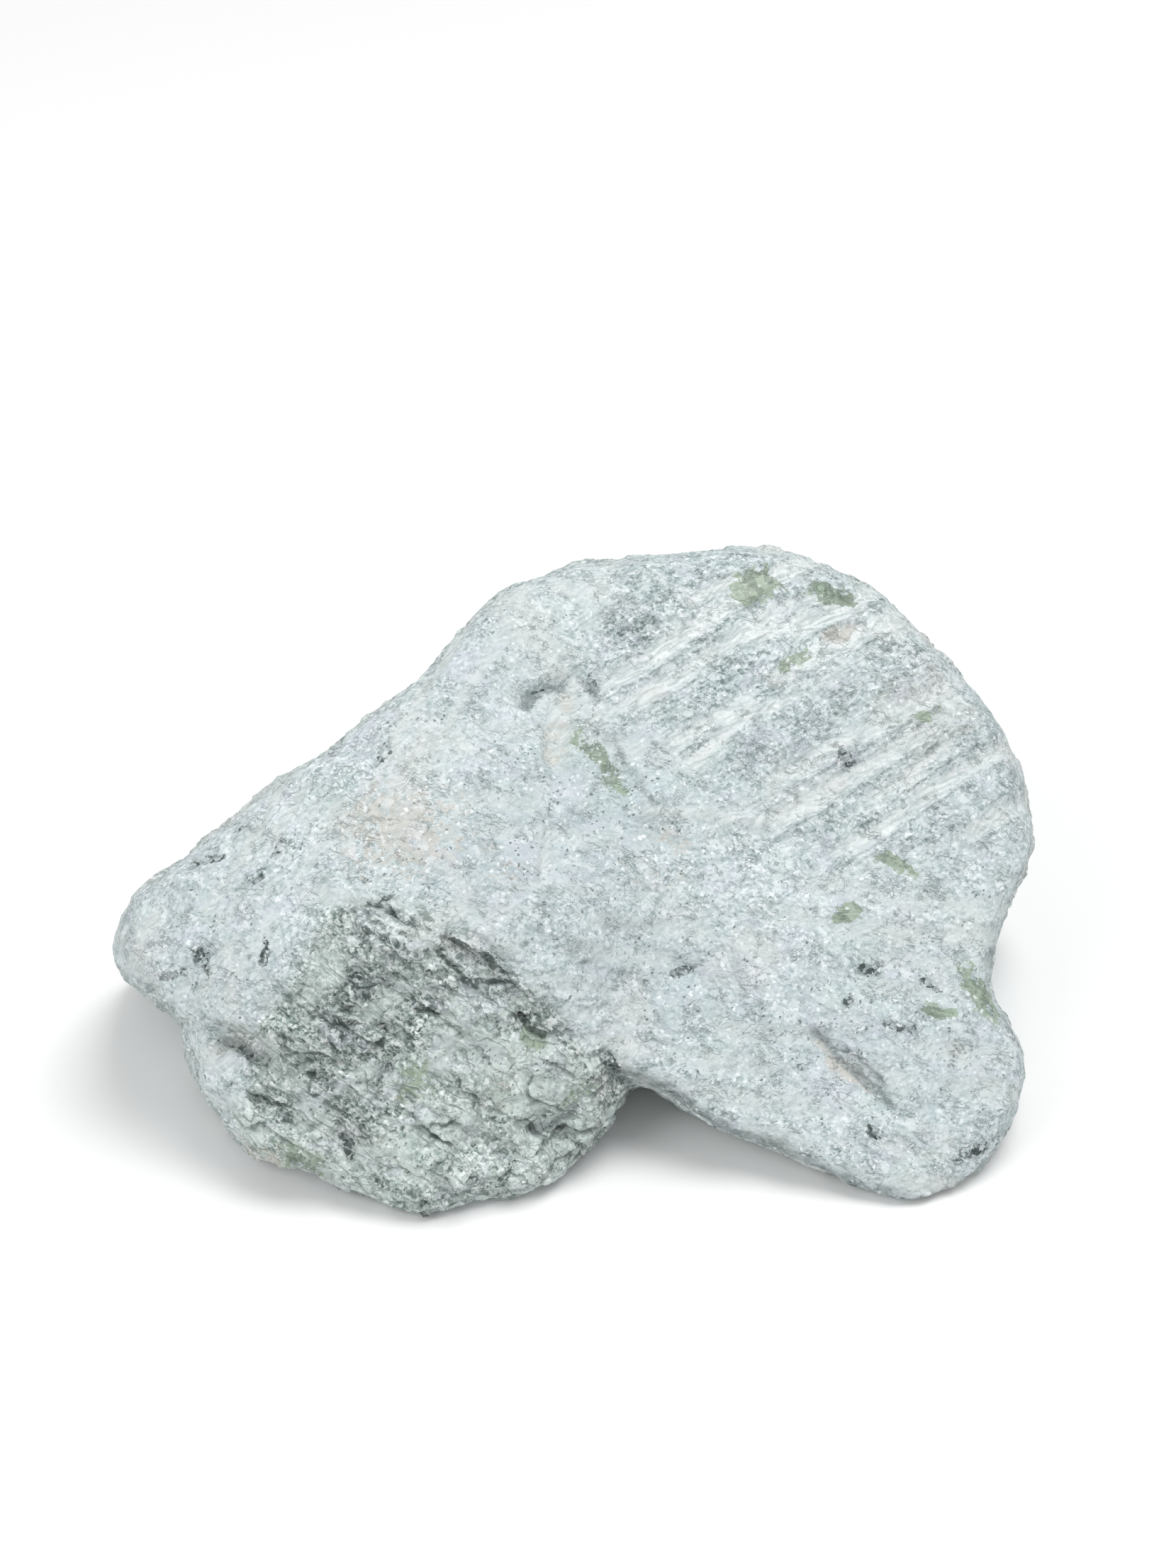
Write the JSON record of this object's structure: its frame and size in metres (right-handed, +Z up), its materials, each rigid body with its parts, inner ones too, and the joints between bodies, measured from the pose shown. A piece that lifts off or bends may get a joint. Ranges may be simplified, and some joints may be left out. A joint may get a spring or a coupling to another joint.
{
  "type": "rough soapstone carving block",
  "caption": "Irregular rough block of pale green soapstone with a tooled dome, a broken stepped face and worn flats to rest on.",
  "frame": {"origin": "middle of the bounding box in X and Y, on the surface that the block rests on", "axes": "+Z up; -Y towards the display side with the broken face; +X towards the domed end and the small foot, along the block's length"},
  "size_m": [0.25, 0.1746, 0.1144],
  "materials": {
    "soapstone": "raw, powdery pale mint-white surface with green-grey flecks; broken face duller and greener"
  },
  "bodies": {
    "root": {"soapstone_block": "soapstone"}
  },
  "joints": []
}
